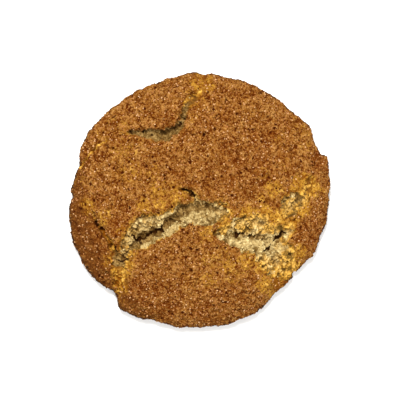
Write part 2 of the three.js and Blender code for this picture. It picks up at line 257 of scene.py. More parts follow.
# Places where the rim is drawn in, or stands out where the depth is below zero: x, y, radius and
# depth, in hundredths of the mean radius.
RIM_DENTS = (
    (74, -57.5, 3, 2.2), (95, 36.5, 3, 1.8), (-101, -7, 9, -0.4), (-62, -80, 4, -0.6),
    (-99.5, 2.5, 2.2, 1.6),
)

# Dough that baked golden, with little sugar on it: x, y, radius, and how golden it is.
GOLDEN_PATCHES = (
    (79, 56, 11, 0.35), (82, 42, 7, 0.4), (83, 50, 7, 0.3), (80, 12, 12, 0.9), (72, -6, 10, 0.8),
    (90, 8, 7, 0.8), (2, 91, 11, 0.75), (-5, 83, 7, 0.6), (-1, 76, 6, 0.5),
    (-43, -5, 8, 0.7), (-31, -3, 8, 0.7), (-20, 0, 7, 0.7), (-13, 4, 6, 0.6), (20, -17, 7, 0.9),
    (18, -22, 6, 1.0), (34, -20, 9, 1.0), (43, -18, 9, 0.9), (53, -20, 8, 0.9), (80, -8, 8, 1.0),
    (70, -12, 6, 0.8), (-88, -5, 8, 0.7), (-74, -12, 8, 0.5), (-36, 20, 9, 0.45), (-34, 8, 9, 0.6),
    (6, -36, 8, 0.35), (22, -50, 9, 0.6), (-6, -62, 9, 0.3), (5, -26, 8, 0.6), (-76, 50, 9, 0.3),
    (-48, 46, 8, 0.35), (77, 62, 8, 0.4), (-62, 34, 9, 0.3), (63, 49, 8, 0.3), (-20, 9, 8, 0.5),
    (65, -53, 16, 0.85), (49, -12, 10, 1.0), (61, -16, 10, 1.0), (36, -12, 9, 1.0), (57, 9, 10, 0.7),
    (48, 0, 9, 0.5), (-61, -56, 9, 0.85), (-60, -68, 6, 0.8), (-61, -78, 5, 0.4),
    (-70, -47, 8, 0.6), (-75, -18, 4, 0.7), (-95.5, -3.5, 5, 0.4), (-88, 35, 7, 0.2),
    (-93, 16, 6, 0.3), (-70, 64, 9, 0.3), (-57, -50, 8, 0.8), (74, -40, 9, 0.9), (-6, 64, 5, 0.4),
    (-52, -40, 6, 0.6), (-66, -31, 5, 0.4), (-60, -24, 6, 0.7), (77, -12, 7, 0.7),
    (50, -65, 9, 0.8), (-53, -20, 9, 0.35), (-38, -15, 8, 0.5), (-26, -9, 6, 0.5),
    (-59, 57, 10, 0.4), (-58, 40, 12, 0.45), (-54, 22, 12, 0.45), (-27, 8, 8, 0.5),
    (7, -46, 10, 0.4), (27, -58, 11, 0.45), (18, -40, 8, 0.45), (35, -47, 9, 0.75),
    (66, 28, 8, 0.3), (61, -64, 10, 0.85), (57, -72, 6, 0.7),
    (50, 21, 8, 0.4), (7, -62, 9, 0.5), (64, -35, 9, 0.7), (49, -49, 10, 0.9),
    (70, -44, 10, 1.0), (46, -19, 10, 0.85),
)

# Crust that baked darker and redder: x, y, radius, and how dark it is.
TOASTED_PATCHES = (
    (-84, -38, 15, 1.0), (-64, -21, 9, 0.9), (85, -27, 12, 0.9), (80, -42, 6, 0.2),
    (-42, -72, 14, 0.9), (-56, -72, 8, 0.5), (-25, -82, 12, 0.7), (40, 31, 26, 0.5),
    (-30, -48, 12, 0.15), (-28, 62, 9, 0.4), (10, -88, 14, 0.4), (30, -78, 12, 0.3),
    (5, -30, 8, 0.2), (-93, -20, 9, 0.7), (10, 20, 16, 0.3), (0, 101, 5, 0.6),
    (20, 62, 14, 0.3), (93, 28, 9, 0.9), (30, 26, 9, 0.9), (-27, 16, 4, 0.8), (77, -26, 6, 0.7),
    (72, 16, 4, 0.6), (63, -66, 4, 0.7), (-76, -62, 9, 0.4), (-92, 6, 6, 0.5), (-80, -50, 10, 1.0),
    (-87, 33, 5, 0.6), (22, 48, 10, 0.4), (24, 20, 11, 0.8), (-50, -78, 9, 0.7), (-18, 20, 6, 0.4),
    (-77, 63, 7, 0.6), (81, 63, 6, 0.3), (-58, -79, 6, 0.2), (2, 92, 12, 0.6), (-94, -5, 9, 0.9),
    (38, 18, 12, 0.5), (70, 28, 9, 0.4), (-6, 76, 9, 1.0), (-63, -38, 8, 1.0), (-66, -49, 8, 0.85),
    (-98, -32, 7, 0.6), (64, -65, 9, 1.0), (-70, -60, 8, 0.3), (-35, -77, 9, 1.0), (80, 9, 8, 0.4),
    (90, -8, 7, 0.7),
)

# The side where the rim is browned and shaded most, partly its baked colour and partly painted
# shade: which way it faces from the middle, how far out it starts and is strongest, and how much
# higher the browner rim and the wall's painted shade reach there.
BROWN_AND_SHADED_SIDE = (-0.9, -0.44)
BROWN_AND_SHADED_REACH = (23 * MM, 41 * MM)
BROWN_AND_SHADED_RIM_RISE = 4.5 * MM
WALL_SHADE_RISE = 0.6 * MM

# Pairs of where a thing starts and where it is full. First come heights over the base: of the
# top, of the relief, of the smoother lower side, of the browner rim, which is partly painted
# shade, and of the painted shade on the low wall.
TOP_HEIGHTS = (3.2 * MM, 5.5 * MM)
RELIEF_HEIGHTS = (0.3 * MM, 1.6 * MM)
SIDE_HEIGHTS = (8 * MM, 3.2 * MM)
RIM_HEIGHTS = (7 * MM, 3.4 * MM)
WALL_SHADE_HEIGHTS = (5.4 * MM, 3.4 * MM)
# Next, how far the surface faces up on the top, and down on the base.
TOP_FACING = (0.1, 0.5)
BASE_FACING = (0.3, 0.9)
# Then hundredths beyond the edge of the torn crumb: of the bare crumb, of its pale middle, and
# of the golden border, which has a near and a far part with a share each.
BARE_EDGE = (0.7, -0.7)
PALE_EDGE = (1, -2.5)
GOLDEN_EDGES = ((3, 0, 0.6), (10, 0, 0.4))
# And distances from the middle of a golden or toasted patch, in its radii.
PATCH_EDGE = (1.25, 0.45)

# How far the torn crumb has to reach, in hundredths, for its edge to be fully frayed, the crust
# beside it fully golden, and the cut under the crust's edge fully deep.
FRAYED_REACH = 5
GOLDEN_REACH = 4
UNDERCUT_REACH = 6

# The cut under the crust's edge beside the crumb: how far in its middle is, how wide it is from
# its edge to where it is full, and how deep, in hundredths.
UNDERCUT_INSIDE = 0.9
UNDERCUT_EDGE = (1.1, 0.2)
UNDERCUT_DEPTH = 1.3
SLOT_ENDS = 0.65  # how wide a slot is at its ends, against its middle
NARROWEST = 0.2  # the least half width of a crevice, in hundredths

# How deep things are where their painted shade is darkest: a channel, a pore, a pit, a slot in
# the crust, and how much deeper a slot in the crumb is.
DARK_CHANNEL = 0.65 * MM
DARK_PORE = 0.8 * MM
DARK_PIT = 0.35 * MM
DARK_SLOT = 0.4 * MM
DARK_CRUMB_SLOT = 0.5 * MM

# Noises: how much each adds, how wide its lumps are, and a shift that makes it unlike the others.
SWELL = ((1, 2.9 * MM, 4.5), (1.1, 1.5 * MM, 9.5))
CRUMB = ((0.85, 2.4 * MM, 2.5), (0.4, 0.8 * MM, 6.5))
FRAYED = ((2.4, 3.1 * MM, 16.5), (2.8, 1.3 * MM, 18.5))
RAGGED = ((0.3, 2.2 * MM, 5),)
NARROWED = ((1, 1.7 * MM, 12.5),)
UNDERCUT = ((1, 1.4 * MM, 24.5),)
CREASE_LINES = ((1, 2.1 * MM, 13.5),)
CREASE_PLACES = ((1, 1.9 * MM, 14.5),)
# Noises that shift places sideways: how far, how wide their lumps are, and a shift for x and y.
WANDER = ((0.3 * MM, 3 * MM), (0.35 * MM, 1.1 * MM)), (3.1, 7.7)
ZIGZAG = ((0.7, 1.2 * MM),), (20.5, 21.5)

# The noises that bend the outlines of lumps along x, y and z: how far, in widths of a lump, how
# wide their own lumps are, and their shifts.
WARP = 0.75
WARP_WIDTH = 0.9
WARP_SHIFTS = (31, 37, 43)
LUMP_FLANK = (0, 0.6)  # how far from the crease between two lumps a lump starts and is full
LUMP_MEAN = 0.55  # what lumps_at gives on average
SMALLEST_PORE = 0.25  # against the largest one
FEW_LARGE_PORES = 2.5  # the higher this is, the more of the pores are small

SKIN_SEED, SUGAR_SEED, CINNAMON_SEED, CRUMB_SEED = 11, 21, 31, 41
FAINT = 1e-9  # keeps a chance from being 0 everywhere
TINY = 1e-12  # keeps a length from being 0 where something is divided by it


def from_srgb(red, green, blue):
    """A colour as the shaders need it, from its values of 0 to 255 on a screen."""
    def to_linear(value):
        value /= 255
        return value / 12.92 if value <= 0.04045 else ((value + 0.055) / 1.055) ** 2.4
    return tuple(to_linear(value) for value in (red, green, blue))


def length_setting(name, description, default):
    return FloatProperty(name=name, description=description, default=default, min=0, unit="LENGTH")


def colour_setting(name, description, default):
    return FloatVectorProperty(
        name=name, description=description, default=default, size=3, min=0, max=1, subtype="COLOR"
    )


class SnickerdoodleRelief(bpy.types.PropertyGroup):
    """How deep and how wide the finest shapes of the biscuit are."""

    crust_thickness: length_setting(
        "Crust thickness", "Height of the crust's broken edge over the torn crumb", 0.45 * MM
    )
    grain_height: length_setting(
        "Grain height", "Height of the sandy grain of the crust", 0.36 * MM
    )
    grain_length: length_setting(
        "Grain length", "Distance from one bump of the grain to the next", 1.0 * MM
    )
    swell_height: length_setting(
        "Swell height", "Height of the crust's low lumps", 0.42 * MM
    )
    crumb_height: length_setting(
        "Crumb height", "Height of the lumps of torn crumb", 0.9 * MM
    )
    crumb_length: length_setting(
        "Crumb length", "Width of the lumps of torn crumb", 1.7 * MM
    )
    golden_height: length_setting(
        "Golden height", "Height of the lumps of golden dough", 0.4 * MM
    )
    rim_swell: length_setting(
        "Rim swell", "How far the skin stands out at the rim, which smoothing had drawn in", 0.16 * MM
    )
    crease_depth: length_setting(
        "Crease depth", "Depth of the short creases in the crust", 0.3 * MM
    )
    pore_radius: length_setting(
        "Pore radius", "Radius of the largest pores in the crumb", 0.9 * MM
    )
    pore_count: IntProperty(
        name="Pores", description="How many pores the torn crumb has", default=500, min=0
    )
    pit_count: IntProperty(
        name="Pits", description="How many small pits the crust has", default=700, min=0
    )


class SnickerdoodleColours(bpy.types.PropertyGroup):
    """The colours of the baked dough and of what lies on it."""

    # The light and dark colours of the crust, dough and crumb are mixed by noise and by the relief's
    # height: lighter on tops and darker between, which is painted light and shade.
    crust: colour_setting("Crust", "The crust's middle brown", from_srgb(128, 81, 29))
    crust_light: colour_setting("Light crust", "The crust's lightest grain", from_srgb(163, 119, 64))
    crust_dark: colour_setting("Dark crust", "The crust's darkest grain", from_srgb(76, 29, 0))
    toasted: colour_setting("Toasted crust", "Crust that baked redder", from_srgb(108, 57, 15))
    # rim is partly the side's baked brown and partly painted shade where the side slopes away; edge
    # is painted shade on the lowest part of the side.
    rim: colour_setting("Rim", "The browner side wall", from_srgb(94, 61, 25))
    edge: colour_setting("Edge", "The lowest, darkest part of the side", from_srgb(58, 36, 16))
    golden: colour_setting("Golden dough", "Dough with no sugar on it", from_srgb(157, 112, 37))
    golden_light: colour_setting("Light dough", "Its lightest lumps", from_srgb(196, 152, 68))
    # golden_dark is also the painted shade in the hollows and crevices of golden crumb.
    golden_dark: colour_setting("Dark dough", "Its darkest specks", from_srgb(112, 62, 8))
    crumb: colour_setting("Torn crumb", "Crumb in the cracks", from_srgb(169, 145, 95))
    crumb_light: colour_setting("Light crumb", "The palest lumps of it", from_srgb(209, 189, 135))
    # crumb_shade is painted shade in the crumb's hollows and pores, crevice painted shade at the
    # bottom of a crack, and crevice_light the lighter lumps there, partly painted light.
    crumb_shade: colour_setting("Crumb shade", "Crumb in its hollows", from_srgb(102, 77, 33))
    crevice: colour_setting("Crevice", "The bottom of a crack", from_srgb(104, 77, 36))
    crevice_light: colour_setting("Light crevice", "Lumps down there", from_srgb(152, 123, 73))
    # pit is painted shade in the crust's pits, slots and hairlines, partly their own dark red; shadow
    # is painted shade in the crumb's deepest slots, pores and crevices.
    pit: colour_setting("Pit", "Pits and hairlines in the crust", from_srgb(56, 18, 1))
    shadow: colour_setting("Deep crevice", "The deepest slots of a crack", from_srgb(52, 27, 6))
    fleck: colour_setting("Cinnamon", "Flecks of cinnamon", from_srgb(70, 26, 2))
    fleck_light: colour_setting("Light cinnamon", "The lightest flecks", from_srgb(96, 42, 8))
    fleck_fibre: colour_setting("Cinnamon fibre", "Streaks in the flecks", from_srgb(44, 16, 1))
    crystal: colour_setting("Bare sugar", "The clearest crystals", from_srgb(198, 154, 106))
    dusted: colour_setting("Dusted sugar", "Crystals under cinnamon", from_srgb(146, 94, 45))
    base: colour_setting("Base", "The toasted underside", from_srgb(140, 92, 46))
    floor: colour_setting("Floor", "What the biscuit stands on", (0.93, 0.93, 0.92))
    floor_cloud: colour_setting("Floor clouds", "Its darker places", (0.84, 0.84, 0.83))


class SnickerdoodleTopping(bpy.types.PropertyGroup):
    """How much sugar, cinnamon and crumb lies on the biscuit."""

    crystal_count: IntProperty(
        name="Sugar crystals", description="Bare crystals of sugar", default=2600, min=0
    )
    crystal_size: length_setting("Crystal size", "Width of a crystal", 0.4 * MM)
    grain_count: IntProperty(
        name="Coated grains", description="Sugar coated with cinnamon", default=19000, min=0
    )
    grain_size: length_setting("Coated grain size", "Width of a coated grain", 0.46 * MM)
    fleck_count: IntProperty(
        name="Cinnamon flecks", description="Flakes of ground cinnamon", default=2600, min=0
    )
    fleck_size: length_setting("Fleck size", "Length of a fleck", 0.55 * MM)
    crumb_count: IntProperty(
        name="Crumbs", description="Loose lumps in the cracks", default=300, min=0
    )
    crumb_size: length_setting("Crumb size", "Width of a crumb", 0.7 * MM)


# ---------------------------------------------------------------------------------------------
# Shader arithmetic


class Shade:
    """One output of a shader node. Arithmetic on it adds the Math node that works it out."""

    def __init__(self, recipe, socket):
        self.recipe = recipe
        self.socket = socket

    def _math(self, operation, *values, clamped=False):
        settings = {"operation": operation, "use_clamp": clamped}
        return self.recipe.node("ShaderNodeMath", settings, dict(enumerate(values)))

    def __add__(self, other):
        return self._math("ADD", self, other)

    def __radd__(self, other):
        return self._math("ADD", other, self)

    def __sub__(self, other):
        return self._math("SUBTRACT", self, other)

    def __rsub__(self, other):
        return self._math("SUBTRACT", other, self)

    def __mul__(self, other):
        return self._math("MULTIPLY", self, other)

    def __rmul__(self, other):
        return self._math("MULTIPLY", other, self)

    def clamp(self):
        """The value, held between 0 and 1."""
        return self._math("ADD", self, 0, clamped=True)

    def rise(self, start, end):
        """0 below start and 1 above end, eased between, or the other way round if end is lower."""
        return self.recipe.node(
            "ShaderNodeMapRange",
            {"interpolation_type": "SMOOTHSTEP"},
            {"Value": self, "From Min": start, "From Max": end},
        )

    def about(self, amount):
        """Noise of 0 to 1, moved to lie about 0 and times this amount."""
        return (self - 0.5) * amount

    def mix(self, colour, other_colour):
        """The first colour where the value is 0, and the second where it is 1."""
        settings = {"data_type": "RGBA", "blend_type": "MIX"}
        sockets = {0: self, 6: colour, 7: other_colour}
        return self.recipe.node("ShaderNodeMix", settings, sockets, output=2)


class Recipe:
    """A material, made node by node."""

    def __init__(self, name):
        self.material = bpy.data.materials.new(name)
        self.material.use_nodes = True
        self.tree = self.material.node_tree
        self.tree.nodes.clear()

    def node(self, kind, settings=None, sockets=None, output=0):
        """Adds a node: its settings first, then its sockets' values or links."""
        node = self.tree.nodes.new(kind)
        for name, value in (settings or {}).items():
            setattr(node, name, value)
        for name, value in (sockets or {}).items():
            if isinstance(value, Shade):
                self.tree.links.new(value.socket, node.inputs[name])
            elif isinstance(node.inputs[name].default_value, float):
                node.inputs[name].default_value = value
            else:
                is_colour = node.inputs[name].type == "RGBA"
                node.inputs[name].default_value = (*value, 1) if is_colour else value
        return Shade(self, node.outputs[output]) if node.outputs else None

    def place(self):
        """A point's place on the piece, in metres."""
        return self.node("ShaderNodeTexCoord", output="Object")

    def measure(self, name):
        """What the piece's own attribute of this name says."""
        settings = {"attribute_type": "GEOMETRY", "attribute_name": name}
        return self.node("ShaderNodeAttribute", settings, output="Fac")

    def grain(self, length, detail=2.0, roughness=0.5):
        """Uneven values of about 0 to 1, with lumps of this length."""
        sockets = {
            "Vector": self.place(),
            "Scale": 1 / length,
            "Detail": detail,
            "Roughness": roughness,
        }
        return self.node("ShaderNodeTexNoise", {"noise_dimensions": "3D"}, sockets)

    def cells(self, length, output="Distance"):
        """The distance to the nearest of many scattered points, in lengths, or its colour."""
        sockets = {"Vector": self.place(), "Scale": 1 / length}
        return self.node("ShaderNodeTexVoronoi", {"feature": "F1"}, sockets, output=output)

    def cell_tone(self, length):
        """A value of 0 to 1 for each of many small cells, all alike inside each cell."""
        colour = self.cells(length, "Color")
        return self.node("ShaderNodeSeparateColor", {}, {"Color": colour}, output="Red")

    def bump(self, height, distance):
        """A normal bent by a height of 0 to 1, where 1 stands this far out."""
        return self.node("ShaderNodeBump", {}, {"Height": height, "Distance": distance})

    def finish(self, **sockets):
        """The Principled surface; socket names are written with _ for a space."""
        named = {name.replace("_", " "): value for name, value in sockets.items()}
        surface = self.node("ShaderNodeBsdfPrincipled", {}, named)
        self.node("ShaderNodeOutputMaterial", {}, {"Surface": surface})
        return self.material


# ---------------------------------------------------------------------------------------------
# Shapes of the dough


def ease(value, start, end):
    """0 at start and 1 at end, eased between."""
    share = np.clip((value - start) / (end - start), 0, 1)
    return share * share * (3 - 2 * share)


def bowl(away):
    """1 at a distance of 0, falling like a round bowl to 0 at a distance of 1."""
    return np.clip(1 - away**2, 0, 1)


def noise_at(points, length, shift):
    """Smooth noise of about -1 to 1 at each of the points, with lumps of this length."""
    shifted = (points / length + shift).tolist()
    return np.array([noise.noise(point) for point in shifted])


def mixed_noise(points, parts):
    """The sum of several noises: how much each adds, its length and its shift."""
    return sum(amount * noise_at(points, length, shift) for amount, length, shift in parts)


def sideways_noise(points, parts, shifts):
    """How far noise moves each point along x and along y, with a shift for each of the two."""
    both = [mixed_noise(points, [(*part, shift) for part in parts]) for shift in shifts]
    return np.array(both).T


def lumps_at(points, length, shift=0):
    """Uneven lumps of about this width: 1 on top of them, and 0 in the creases between them."""
    bends = [noise_at(points, WARP_WIDTH * length, shift + axis) for axis in WARP_SHIFTS]
    gaps = []
    for point in (points / length + WARP * np.array(bends).T + shift).tolist():
        distances, _ = noise.voronoi(point)
        gaps.append(distances[1] - distances[0])
    return ease(np.array(gaps), *LUMP_FLANK)


def trace(line):
    """Closely spaced points on a smooth curve through a line's points, with their values."""
    knots = np.array(line, float)
    padded = np.vstack((2 * knots[0] - knots[1], knots, 2 * knots[-1] - knots[-2]))
    traced = []
    for first, start, end, last in zip(padded, padded[1:], padded[2:], padded[3:]):
        for step in range(STEPS_PER_POINT):
            t = step / STEPS_PER_POINT
            traced.append(
                0.5 * (2 * start + (end - first) * t
                       + (2 * first - 5 * start + 4 * end - last) * t**2
                       + (3 * start - first - 3 * end + last) * t**3)
            )
    traced.append(knots[-1])
    return np.array(traced)


def nearest_on_line(traced, places):
    """Each place's distance to a line, whether it is on the left, and the line's values there."""
    count = len(places)
    distance = np.full(count, np.inf)
    on_left = np.zeros(count, bool)
    values = np.zeros((count, traced.shape[1] - 2))
    for start, end in zip(traced, traced[1:]):
        run = end[:2] - start[:2]
        offset = places - start[:2]
        along = np.clip(offset @ run / max(run @ run, TINY), 0, 1)
        gap = offset - along[:, None] * run
        away = np.hypot(gap[:, 0], gap[:, 1])
        closer = away < distance
        distance[closer] = away[closer]
        on_left[closer] = (run[0] * gap[:, 1] - run[1] * gap[:, 0])[closer] > 0
        values[closer] = (start[2:] + along[:, None] * (end[2:] - start[2:]))[closer]
    return distance, on_left, values


def wander(points):
    """The places of points in hundredths, shifted a little, so that what lies there is ragged."""
    return (points[:, :2] - OUTLINE_SHIFT + sideways_noise(points, *WANDER)) / HUNDREDTH


def radii_from(places, x, y, radius):
    """How many of its radii each place is from the middle of a round spot."""
    return np.hypot(places[:, 0] - x, places[:, 1] - y) / radius


def patches(places, spots, raggedness):
    """How much of the patches' strength reaches each place."""
    strength = np.zeros(len(places))
    for x, y, radius, most in spots:
        away = radii_from(places, x, y, radius) + raggedness
        strength = np.maximum(strength, most * ease(away, *PATCH_EDGE))
    return strength


def add_object(name, data):
    """Adds an object to the scene."""
    thing = bpy.data.objects.new(name, data)
    bpy.context.scene.collection.objects.link(thing)
    return thing


def read_points(mesh, what="co"):
    """Each vertex's place, or its normal."""
    values = np.empty(len(mesh.vertices) * 3)
    mesh.vertices.foreach_get(what, values)
    return values.reshape(-1, 3)


def write_measure(mesh, name, values):
    """Keeps one number for each of the mesh's vertices as an attribute."""
    attribute = mesh.attributes.new(name, "FLOAT", "POINT")
    attribute.data.foreach_set("value", np.asarray(values, np.float32))


def read_measure(mesh, name):
    """The number that an attribute keeps for each of the mesh's vertices."""
    values = np.empty(len(mesh.vertices), np.float32)
    mesh.attributes[name].data.foreach_get("value", values)
    return values


def edges_where(bm, wanted, longest):
    """The edges longer than this of which both ends are wanted."""
    return [
        edge for edge in bm.edges
        if all(wanted[vert.index] for vert in edge.verts) and edge.calc_length() > longest
    ]


def bmesh_points(bm):
    """Where the vertices are, after their indices are brought up to date."""
    bm.verts.ensure_lookup_table()
    bm.verts.index_update()
    return np.array([vert.co for vert in bm.verts])


def smooth(bm, times, sideways=True):
    """Draws each vertex halfway to its neighbours, only up and down if not sideways."""
    for _ in range(times):
        bmesh.ops.smooth_vert(
            bm, verts=bm.verts, factor=0.5,
            use_axis_x=sideways, use_axis_y=sideways, use_axis_z=True,
        )


def divide(bm, wanted, longest):
    """Splits each wanted edge longer than this in two, and keeps every face a triangle."""
    edges = edges_where(bm, wanted, longest)
    bmesh.ops.subdivide_edges(bm, edges=edges, cuts=1, use_grid_fill=True)
    bmesh.ops.triangulate(bm, faces=[face for face in bm.faces if len(face.verts) > 3])


def near_a_crack(points):
    """Which points lie in or near the torn crumb of a crack, or on a short crack."""
    places = points[:, :2] / HUNDREDTH
    near = np.zeros(len(points), bool)
    for line in CRACKS.values():
        distance, on_left, values = nearest_on_line(trace(line), places)
        reach = np.where(on_left, values[:, 0], values[:, 1])
        near |= distance < reach + CRACK_MARGIN
    for _, width, line in SLOTS:
        distance, _, _ = nearest_on_line(np.array(line), places)
        near |= distance < width + CRACK_MARGIN
    return near & (points[:, 2] > BASE_HEIGHT + LOWEST_CRACK)


def make_skin_mesh(node):
    """A finely divided copy of the biscuit, with its flat faces smoothed away."""
    bm = bmesh.new()
    bm.from_mesh(node.data)
    bmesh.ops.remove_doubles(bm, verts=bm.verts, dist=WELD)
    divide(bm, np.ones(len(bm.verts), bool), COARSE_EDGE)
    smooth(bm, times=3, sideways=False)
    divide(bm, bmesh_points(bm)[:, 2] > BASE_HEIGHT + FINE_FROM, FINE_EDGE)
    smooth(bm, times=1)
    divide(bm, near_a_crack(bmesh_points(bm)), FINEST_EDGE)
    smooth(bm, times=1)
    mesh = bpy.data.meshes.new("snickerdoodle")
    bm.to_mesh(mesh)
    bm.free()
    if "sharp_face" in mesh.attributes:
        mesh.attributes.remove(mesh.attributes["sharp_face"])
    mesh.polygons.foreach_set("use_smooth", np.ones(len(mesh.polygons), bool))
    return mesh


def crack_measures(points, places):
    """What the cracks make of each point.

    How bare and how pale it is, how golden, how much painted shade its crumb gets from the crust
    beside it, and how far it lies down in the shallow channel and in the cut under the crust's
    edge, in hundredths.
    """
    bare, pale, golden, brown, channel, undercut = np.zeros((6, len(points)))
    frayed = mixed_noise(points, FRAYED)
    narrowed = ease(mixed_noise(points, NARROWED), -0.5, 0.4)
    torn_under = ease(mixed_noise(points, UNDERCUT), 0.1, 0.45)
    for name, line in CRACKS.items():
        distance, on_left, values = nearest_on_line(trace(line), places)
        left, right, paleness, gap_width, gap_depth = values.T
        reach = np.where(on_left, left, right)
        reach = reach + frayed * np.clip(reach / FRAYED_REACH, 0, 1)
        beyond = distance - reach
        inside = ease(beyond, *BARE_EDGE)
        bare = np.maximum(bare, inside)
        # Painted shade on the crumb where the crust beside it shades it, more of it where the crumb
        # is paler.
        lip_shade = ease(paleness, 0.1, 0.6) * np.where(on_left, *CRUMB_SHADES.get(name, (0, 0)))
        brown = np.maximum(brown, inside * lip_shade)
        pale = np.maximum(pale, ease(beyond, *PALE_EDGE) * np.clip(paleness, 0, 1))
        border = sum(ease(beyond, start, end) * share for start, end, share in GOLDEN_EDGES)
        border *= np.clip(reach / GOLDEN_REACH, 0, 1) * np.where(on_left, *GOLDEN_BORDERS[name])
        golden = np.maximum(golden, border)
        width = np.maximum(gap_width, NARROWEST) * (1 + 0.8 * narrowed)
        depth = CREVICE_SHARE * np.maximum(gap_depth, 0)
        channel = np.maximum(channel, depth * bowl(distance / width))
        under = ease(np.abs(beyond + UNDERCUT_INSIDE), *UNDERCUT_EDGE) * torn_under
        cut = UNDERCUT_DEPTH * under * np.clip(reach / UNDERCUT_REACH, 0, 1)
        undercut = np.maximum(undercut, cut * np.clip(paleness, 0, 1))
    return bare, pale, golden, brown, channel, undercut


def slot_depths(points, places):
    """How far each point lies down in the narrow slots and the holes, in hundredths."""
    deepest = np.zeros(len(points))
    zigzagged = places + sideways_noise(points, *ZIGZAG)
    for depth, half_width, line in SLOTS:
        taper = [SLOT_ENDS] + [1] * (len(line) - 2) + [SLOT_ENDS]
        traced = trace([(x, y, half_width * share) for (x, y), share in zip(line, taper)])
        distance, _, width = nearest_on_line(traced, zigzagged)
        deepest = np.maximum(deepest, SLOT_SHARE * depth * bowl(distance / width[:, 0]))
    for *spot, depth in HOLES:
        deepest = np.maximum(deepest, SLOT_SHARE * depth * bowl(radii_from(places, *spot)))
    return deepest


def pores(points, weights, count, largest, draw):
    """The depth of round pores, scattered over the points where the weights say."""
    depth = np.zeros(len(points))
    centres = draw.choice(len(points), count, p=weights / weights.sum())
    wider = (1 - SMALLEST_PORE) * draw.random(count) ** FEW_LARGE_PORES
    radii = largest * (SMALLEST_PORE + wider)
    order = np.argsort(points[:, 0])
    sorted_x = points[order, 0]
    for centre, radius in zip(points[centres], radii):
        span = slice(*np.searchsorted(sorted_x, (centre[0] - radius, centre[0] + radius)))
        nearby = order[span]
        away = np.linalg.norm(points[nearby] - centre, axis=1) / radius
        depth[nearby] = np.maximum(depth[nearby], radius * np.sqrt(bowl(away)))
    return depth


def dough_relief(points, relief):
    """The lumps, the crust's grain and swell, and the torn crumb, each of them about 0."""
    lumps = lumps_at(points, relief.crumb_length) - LUMP_MEAN
    grain = noise_at(points, 0.7 * relief.grain_length, 1.5)
    grain += 1.2 * (lumps_at(points, relief.grain_length, 8.5) - 0.5)
    crumb = mixed_noise(points, CRUMB)
    crumb += 0.8 * lumps + 0.5 * (lumps_at(points, 1.1 * MM, 10.5) - LUMP_MEAN)
    return lumps, grain, mixed_noise(points, SWELL), crumb


